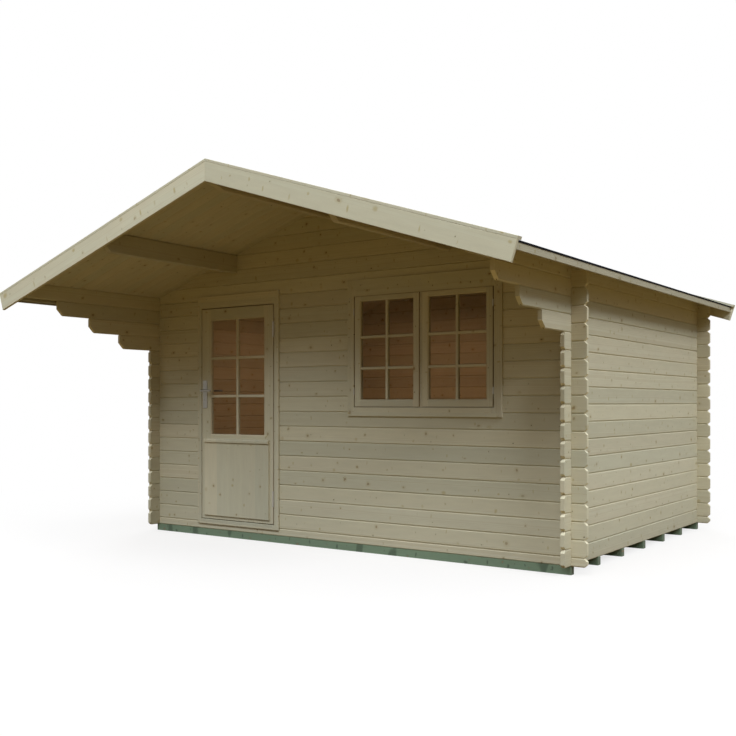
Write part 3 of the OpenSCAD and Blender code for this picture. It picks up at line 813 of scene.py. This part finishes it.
class GARDENHOUSE_OT_ironmongery(PieceOperator):
    """Finish the handle and the hinges"""

    bl_idname = "garden_house.ironmongery"
    bl_label = "Ironmongery"

    def build(self):
        finish = chosen("finish")
        aluminium = metal_finish("anodised_aluminium", finish.aluminium, 0.45, 30, 0.25)
        zinc = metal_finish("zinc_plate", finish.zinc, 0.6, 300, 0.15)
        for node in ("door_handle_plates", "door_lever"):
            paint_node(node, aluminium)
        for node in ("door_hinge_knuckles", "frame_hinge_knuckles", "window_hinges"):
            paint_node(node, zinc)


class GARDENHOUSE_OT_log_walls(PieceOperator):
    """Finish the log walls, the gables and the logs that carry the canopy"""

    bl_idname = "garden_house.log_walls"
    bl_label = "Log walls"

    def build(self):
        clear_of_foot = 0.0002
        side_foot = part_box("left_wall")[0].z - clear_of_foot
        cross_foot = side_foot + self.timber.course / 2
        for seed, node in enumerate(sorted(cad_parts)):
            low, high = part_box(node)
            centre = (low + high) / 2
            if node.endswith(("_wall", "canopy_logs")) and node != "rear_wall":
                lay = laid("y", "z", side_foot, self.timber.course, centre.x)
                paint_node(node, wood(node + "_spruce", lay, seed, "y"))
            elif node.startswith(("front_wall", "front_base", "rear_wall")) or node.endswith("gable"):
                lay = laid("x", "z", cross_foot, self.timber.course, centre.y)
                paint_node(node, wood(node + "_spruce", lay, seed, "x"))


class GARDENHOUSE_OT_bearers(PieceOperator):
    """Finish the pressure-treated bearers"""

    bl_idname = "garden_house.bearers"
    bl_label = "Bearers"

    def build(self):
        for node in sorted(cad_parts):
            if node.startswith("bearer_"):
                number = float(node.split("_")[1])
                look = {"spread": 0.04, "treated": True, "grain": 0.5}
                paint_node(node, wood(node + "_treated", single("x", node), number, "x", **look))


class GARDENHOUSE_OT_purlins(PieceOperator):
    """Finish the ridge purlin and the side purlins"""

    bl_idname = "garden_house.purlins"
    bl_label = "Purlins"

    def build(self):
        pitch = self.timber.pitch
        chamfer = self.timber.purlin_chamfer
        for seed, node in enumerate(("ridge_purlin", "left_purlin", "right_purlin")):
            low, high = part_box(node)
            x = (low.x + high.x) / 2
            purlin = block(node + "_planed", low, high)
            for sign in SIDES.values():
                if sign * x > -HAIRLINE:
                    cut(purlin, (x, 0, high.z), (sign * math.sin(pitch), 0, math.cos(pitch)))
            run = chamfer * 3 if node.startswith("ridge") else chamfer
            cut(purlin, (0, low.y + run, low.z), (0, -chamfer, -run))
            cut(purlin, (0, high.y - run, low.z), (0, chamfer, -run))
            ease(
                purlin,
                lambda edge: middle(edge).z < low.z + HAIRLINE and extent(edge, Y) > LONG,
                self.timber.arris * 2.4,
                1,
            )
            ease_all(purlin, self.timber.arris / 2)
            # Darker and warmer than the walls: painted shade under the roof.
            finish = wood(node + "_spruce", single("y", node), seed + 3, tone=0.86, blush=0.8)
            fit(purlin, "root", "log_wood", finish, node)


class GARDENHOUSE_OT_boards(PieceOperator):
    """Lay the floor boards, and the roof boards down both slopes"""

    bl_idname = "garden_house.boards"
    bl_label = "Floor and roof boards"

    def build(self):
        low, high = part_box("floor")
        count = round((high.x - low.x) / self.timber.floor_board)
        cover = (high.x - low.x) / count
        board = block("floor_boards", low, (low.x + cover - HAIRLINE, high.y, high.z))
        ease(board, lambda edge: middle(edge).z > high.z - HAIRLINE, self.timber.groove)
        row(board, count, (cover, 0, 0))
        lay = laid("y", "x", low.x, cover, (low.z + high.z) / 2)
        fit(board, "root", "board_wood", wood("floor_spruce", lay, 21, "y"), "floor")

        slope = math.tan(self.timber.pitch)
        low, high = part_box("right_roof_boards")
        thickness = high.z - low.z - (high.x - low.x) * slope
        count = round((high.y - low.y) / self.timber.roof_board)
        cover = (high.y - low.y) / count
        lay = sloping(high.z - thickness / 2, low.y, cover)
        # Warmer and a little darker than the walls: painted shade under the roof. Boards differ little
        # in tone.
        finish = wood("roof_spruce", lay, 31, "x", tone=0.97, blush=0.7, grain=0.2, variety=0.06)
        for side, sign in SIDES.items():
            near, far = sorted((sign * low.x, sign * high.x))
            board = block(
                f"{side}_roof_board_row",
                (near, low.y + HAIRLINE / 2, high.z - thickness),
                (far, low.y + cover - HAIRLINE / 2, high.z),
            )
            tip = sign * high.x
            shift(board, lambda v: meets(v.co.x, tip), (0, 0, (low.x - high.x) * slope))
            ease(
                board,
                lambda edge: extent(edge, Y) < HAIRLINE
                and extent(edge, X) > LONG
                and middle(edge).z < (low.z + high.z) / 2,
                self.timber.groove,
                1,
            )
            row(board, count, (0, cover, 0))
            fit(board, "root", "board_wood", finish, f"{side}_roof_boards")


class GARDENHOUSE_OT_roof_felt(PieceOperator):
    """Lay the felt in lapped strips, fold it over the eaves and nail it"""

    bl_idname = "garden_house.roof_felt"
    bl_label = "Roofing felt"

    nail_inset = 0.03
    nail_margin = 0.04
    nail_depth = 0.0016

    def build(self):
        roofing = chosen("roofing")
        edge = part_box("roof_felt")[1].x
        cover = edge / roofing.strips
        strips = []
        laps = []
        for side, sign in SIDES.items():
            for k in range(roofing.strips):
                foot = edge - k * cover
                head = max(foot - cover - roofing.lap, 0.0)
                strips.append(self.strip(f"{side}_felt_{k}", sign, head, foot, 0, min(k, 1)))
                if k:
                    laps.append((sign, foot - self.nail_inset, 2))
                else:
                    self.fold(strips[-1], sign, edge - roofing.thickness, roofing.fold)
            strips.append(self.strip(f"{side}_felt_cap", sign, 0.0, roofing.cap, 1, 2))
            laps.append((sign, roofing.cap - self.nail_inset, 3))
        felt = join("roof_felt_strips", strips)
        fit(felt, "root", "roof_felt", felt_finish("mineral_felt"), "roof_felt")
        self.nails(laps, roofing)

    def level(self, sheets, x):
        """Height of the top of so many sheets at a distance from the ridge."""
        rise = chosen("roofing").thickness / math.cos(self.timber.pitch)
        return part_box("roof_felt")[1].z + (sheets - 1) * rise - x * math.tan(self.timber.pitch)

    def strip(self, name, sign, head, foot, under_head, under_foot):
        """A strip of felt from head to foot on one slope, with so many sheets under its two ends."""
        low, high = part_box("roof_felt")
        near, far = sorted((sign * head, sign * foot))
        thickness = self.level(1, 0) - self.level(0, 0)
        strip = block(name, (near, low.y, 0), (far, high.y, thickness))
        for end, sheets in ((head, under_head), (foot, under_foot)):
            shift(strip, lambda v: meets(abs(v.co.x), end), (0, 0, self.level(sheets, end)))
        return strip

    def fold(self, strip, sign, inner, depth):
        """Turns the foot of a strip down over the eaves board."""
        choose(strip, "FACE", lambda face: True)
        bpy.ops.mesh.bisect(plane_co=(sign * inner, 0, 0), plane_no=(1, 0, 0))
        close_edit()
        choose(strip, "FACE", lambda face: face.normal.z < -0.5 and abs(middle(face).x) > inner)
        bpy.ops.mesh.extrude_region_move(TRANSFORM_OT_translate={"value": (0, 0, -depth)})
        close_edit()

    def nails(self, laps, roofing):
        """Rows of clout nails along the laps, each on so many sheets."""
        low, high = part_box("roof_felt")
        first = low.y + self.nail_margin
        count = int((high.y - self.nail_margin - first) / roofing.nail_step) + 1
        rows = []
        for sign, x, sheets in laps:
            z = self.level(sheets, x)
            head = disc("nail", (sign * x, first, z), roofing.nail_head / 2, self.nail_depth, 10)
            ease(head, lambda edge: middle(edge).z > z, 0.0005, 1)
            rows.append(row(head, count, (0, roofing.nail_step, 0)))
        nails = join("roof_felt_nails", rows)
        fit(nails, "root", "hinge_steel", bpy.data.materials["zinc_plate"])


class GARDENHOUSE_OT_roof_trims(PieceOperator):
    """Fit the barge boards on both gables and finish the eaves boards"""

    bl_idname = "garden_house.roof_trims"
    bl_label = "Roof trims"

    def build(self):
        timber = self.timber
        rise = timber.cap_height / math.cos(timber.pitch)
        for node in ("front_barge_boards", "rear_barge_boards"):
            low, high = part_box(node)
            front = low.y < 0
            outer, inward = (low.y, timber.barge_depth) if front else (high.y, -timber.barge_depth)
            near, far = sorted((outer, outer + inward))
            apex = high.z - rise
            boards = self.pair("barge", near, far, outer, apex, -timber.barge_width, -HAIRLINE)
            caps = self.pair("barge_cap", low.y, high.y, outer, apex, 0, timber.cap_height)
            middle_y = (near + far) / 2
            lay = raked(apex, timber.barge_width, middle_y)
            look = {"tone": 1.06, "blush": 0.2, "stains": 0.9, "bold": 1.5}
            finish = wood(node + "_spruce", lay, 41 + low.y, **look)
            lay = raked(high.z, timber.cap_height, middle_y)
            look = {"tone": 0.97, "blush": 0.3, "knots": 0.4, "spread": 0.03}
            cap_finish = wood(node + "_cap_spruce", lay, 45 + low.y, **look)
            fit(join(node + "_planed", boards), "root", "trim_wood", finish, node)
            fit(join(node + "_caps", caps), "root", "trim_wood", cap_finish, node)
        # The eaves boards are made much darker than the other timber: painted shade.
        look = {"tone": 0.64, "blush": 0.3, "spread": 0.04}
        for seed, node in enumerate(("left_eaves_board", "right_eaves_board")):
            paint_node(node, wood(node + "_spruce", single("y", node), seed + 51, "y", **look))

    def pair(self, name, near, far, outer, apex, foot, head):
        """Boards down both slopes, square to the slope from foot to head under the apex line."""
        timber = self.timber
        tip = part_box("front_barge_boards")[1].x - timber.cap_height * math.sin(timber.pitch)
        reach = tip / math.cos(timber.pitch)
        past_apex = 0.3
        mitre = 0.01
        boards = []
        for side, sign in SIDES.items():
            left, right = sorted((-sign * past_apex, sign * reach))
            board = block(f"{side}_{name}", (left, near, foot), (right, far, head))
            activate(board)
            board.rotation_euler = (0, sign * timber.pitch, 0)
            board.location = (0, 0, apex)
            settle(board.name)
            cut(board, (sign * HAIRLINE / 2, 0, 0), (-sign, 0, 0))
            ease(
                board,
                lambda edge: abs(middle(edge).x) > mitre and meets(middle(edge).y, outer),
                timber.arris,
                3,
            )
            boards.append(board)
        return boards


class GARDENHOUSE_OT_casings(PieceOperator):
    """Fit the casing boards round the door and the window, on both faces of the wall"""

    bl_idname = "garden_house.casings"
    bl_label = "Casings"

    def build(self):
        wall_low, wall_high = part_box("front_base_log")
        for seed, name in enumerate(("door", "window")):
            low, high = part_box(f"{name}_casing")
            in_low, in_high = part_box(f"{name}_frame")
            faces = ((low.y, wall_low.y - HAIRLINE), (high.y, wall_high.y + HAIRLINE))
            foot = in_low.z + HAIRLINE
            spans = (
                ((low.x, foot), (in_low.x - HAIRLINE, in_high.z)),
                ((in_high.x + HAIRLINE, foot), (high.x, in_high.z)),
                ((low.x, low.z), (high.x, in_low.z - HAIRLINE)),
                ((low.x, in_high.z + HAIRLINE), (high.x, high.z)),
            )
            boards = []
            for outer, inner in faces:
                y0, y1 = sorted((outer, inner))
                for (x0, z0), (x1, z1) in spans:
                    board = block("casing", (x0, y0, z0), (x1, y1, z1))
                    ease(board, lambda edge: self.outline(edge, outer, low, high), self.timber.arris, 3)
                    boards.append(board)
            lay = framed(low, high, in_low.x - low.x, low.y)
            finish = wood(f"{name}_casing_spruce", lay, seed + 61, blush=0.3, spread=0.03)
            fit(join(f"{name}_casing_boards", boards), "root", "trim_wood", finish, f"{name}_casing")

    def outline(self, edge, outer, low, high):
        """Whether an edge lies on a casing's outer border and outer face."""
        spot = middle(edge)
        border = any(meets(spot[axis], corner[axis]) for axis in (X, Z) for corner in (low, high))
        return border and meets(spot.y, outer)


class GARDENHOUSE_OT_joinery(PieceOperator):
    """Finish the frames, the door leaf with its applied panel, and the sashes"""

    bl_idname = "garden_house.joinery"
    bl_label = "Joinery"

    def build(self):
        timber = self.timber
        for seed, node in enumerate(("door_frame", "window_frame")):
            low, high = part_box(node)
            lay = framed(low, high, timber.frame_timber, low.y)
            paint_node(node, wood(node + "_spruce", lay, seed + 71, blush=0.3, spread=0.03))

        low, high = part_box("door_leaf")
        lay = framed(low, high, timber.door_rail, (low.y + high.y) / 2, high.z - low.z)
        # Painted shade along the leaf's sides and head, not its foot: the lower corner lies a stile
        # below the leaf.
        painted_shade_rim = (low - Vector((0, 0, timber.door_rail)), high)
        paint_node("door_leaf", wood("door_leaf_spruce", lay, 81, blush=0.3, spread=0.07, painted_shade_rim=painted_shade_rim))
        low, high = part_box("door_panel")
        lay = laid("z", "x", low.x, timber.stave, high.y)
        look = {"tone": 1.03, "blush": 0.4, "knots": 0.9, "spread": 0.11, "grain": 0.12, "variety": 0.24}
        paint_node("door_panel", wood("door_panel_spruce", lay, 83, **look))

        for seed, node in enumerate(("left_sash", "right_sash")):
            # Painted shade along all four edges of each sash.
            low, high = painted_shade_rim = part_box(node)
            lay = framed(low, high, timber.sash_rail, (low.y + high.y) / 2)
            paint_node(node, wood(node + "_spruce", lay, seed + 91, blush=0.3, spread=0.04, painted_shade_rim=painted_shade_rim))


class GARDENHOUSE_OT_glazing(PieceOperator):
    """Finish the panes and lay the glazing bars on both faces of them"""

    bl_idname = "garden_house.glazing"
    bl_label = "Glazing"

    rows = 3

    def build(self):
        timber = self.timber
        glass = glass_finish("clear_glass")
        for node in ("door_glass", "window_glass"):
            paint_node(node, glass)
        seat = Vector((timber.glass_seat, 0, timber.glass_seat))
        low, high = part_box("door_glass")
        self.bars("door", "door", low + seat, high - seat, timber.door_bar, 1 / self.rows, 95)
        rail = Vector((timber.sash_rail, 0, timber.sash_rail))
        head_rail = Vector((timber.sash_rail, 0, timber.sash_head))
        glass_low, glass_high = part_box("window_glass")
        for seed, sash in enumerate(("left_sash", "right_sash")):
            low, high = (corner.copy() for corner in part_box(sash))
            low.y, high.y = glass_low.y, glass_high.y
            corners = low + rail, high - head_rail
            self.bars(sash, "root", *corners, timber.sash_bar, timber.sash_row, seed + 97)

    def bars(self, name, body, low, high, width, share, seed):
        """Upright and level bars on both faces of a pane; share is a row's part of the height."""
        upright = (low.x + high.x) / 2
        left, right = upright - width / 2, upright + width / 2
        rise = (high.z - low.z) * share
        pieces = []
        for y, way in ((low.y - HAIRLINE, -1), (high.y + HAIRLINE, 1)):
            pieces.append(self.bar((left, low.z), (right, high.z), y, way))
            for k in range(1, self.rows):
                foot, head = (low.z + k * rise + way * width / 2 for way in (-1, 1))
                pieces.append(self.bar((low.x, foot), (left, head), y, way))
                pieces.append(self.bar((right, foot), (high.x, head), y, way))
        lay = crossed(upright, width, low.y)
        finish = wood(f"{name}_bar_spruce", lay, seed, tone=1.02, blush=0.3, knots=0.3)
        fit(join(f"{name}_glazing_bars", pieces), body, "joinery_wood", finish)

    def bar(self, foot, head, y, way):
        """One bar on a pane's face at y; way is -1 on the outer face."""
        outer = y + way * self.timber.bar_depth
        near, far = sorted((y, outer))
        gap = HAIRLINE / 2
        bar = block("bar", (foot[0] + gap, near, foot[1] + gap), (head[0] - gap, far, head[1] - gap))
        axis = X if head[0] - foot[0] > head[1] - foot[1] else Z
        least = self.timber.bar_depth * 2
        ease(
            bar,
            lambda edge: meets(middle(edge).y, outer) and extent(edge, axis) > least,
            self.timber.bar_bevel,
        )
        return bar


class GARDENHOUSE_OT_screws(PieceOperator):
    """Drive the screws of the casings and of the handle plates"""

    bl_idname = "garden_house.screws"
    bl_label = "Screws"

    upright_margin = 0.06
    level_margin = 0.08
    plate_margin = 0.012

    def build(self):
        zinc = ("root", "hinge_steel", bpy.data.materials["zinc_plate"])
        for name, count in (("door", 5), ("window", 3)):
            low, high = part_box(f"{name}_casing")
            in_low, in_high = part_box(f"{name}_frame")
            centre_low, centre_high = (low + in_low) / 2, (high + in_high) / 2
            heights = spaced(in_low.z + self.upright_margin, in_high.z - self.upright_margin, count)
            places = [(x, z) for x in (centre_low.x, centre_high.x) for z in heights]
            for x in spaced(in_low.x + self.level_margin, in_high.x - self.level_margin, 3):
                places += [(x, centre_high.z), (x, centre_low.z)]
            self.heads(f"{name}_casing_screws", places, low.y, high.y, *zinc)
        low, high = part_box("door_handle_plates")
        x = (low.x + high.x) / 2
        places = [(x, low.z + self.plate_margin), (x, high.z - self.plate_margin)]
        metal = ("door", "handle_metal", bpy.data.materials["anodised_aluminium"])
        self.heads("handle_plate_screws", places, low.y, high.y, *metal)

    def heads(self, name, places, front, rear, body, slot, material):
        """Screw heads with a socket, on the front and the rear face."""
        size = self.timber.screw
        depth, dome, socket = 0.0012, 0.0004, 0.0009
        pieces = []
        for y, way in ((front, -1), (rear, 1)):
            head = disc("head", (0, y, 0), size / 2, depth, 12, (math.radians(90), 0, 0))
            outer = y + way * depth / 2
            choose(head, "FACE", lambda face: abs(middle(face).y - outer) < depth / 12)
            bpy.ops.mesh.inset(thickness=size * 0.12)
            bpy.ops.transform.translate(value=(0, way * dome, 0))
            bpy.ops.mesh.inset(thickness=size * 0.18)
            bpy.ops.mesh.extrude_region_move(TRANSFORM_OT_translate={"value": (0, -way * socket, 0)})
            close_edit()
            for x, z in places:
                pieces.append(copy(head, name, (x, 0, z)))
            bpy.data.objects.remove(head)
        fit(join(name, pieces), body, slot, material)


GROUPS = {
    "timber": GardenHouseTimber,
    "roofing": GardenHouseRoofing,
    "finish": GardenHouseFinish,
    "stage": GardenHouseStage,
}
# The steps, in the order of their classes, in which they also run.
OPERATORS = PieceOperator.__subclasses__()


class GARDENHOUSE_PT_panel(bpy.types.Panel):
    """Lists the steps that finish the garden house"""

    bl_idname = "GARDENHOUSE_PT_panel"
    bl_label = "Garden House"
    bl_space_type = "VIEW_3D"
    bl_region_type = "UI"
    bl_category = "Garden House"

    def draw(self, context):
        for operator in OPERATORS:
            self.layout.operator(operator.bl_idname)


def register():
    for cls in (*GROUPS.values(), *OPERATORS, GARDENHOUSE_PT_panel):
        bpy.utils.register_class(cls)
    for name, group in GROUPS.items():
        setattr(bpy.types.Scene, f"garden_house_{name}", PointerProperty(type=group))


def unregister():
    for name in GROUPS:
        delattr(bpy.types.Scene, f"garden_house_{name}")
    for cls in (GARDENHOUSE_PT_panel, *reversed(OPERATORS), *reversed(GROUPS.values())):
        bpy.utils.unregister_class(cls)


def main():
    register()
    for operator in OPERATORS:
        family, name = operator.bl_idname.split(".")
        getattr(getattr(bpy.ops, family), name)()


if __name__ == "__main__":
    main()
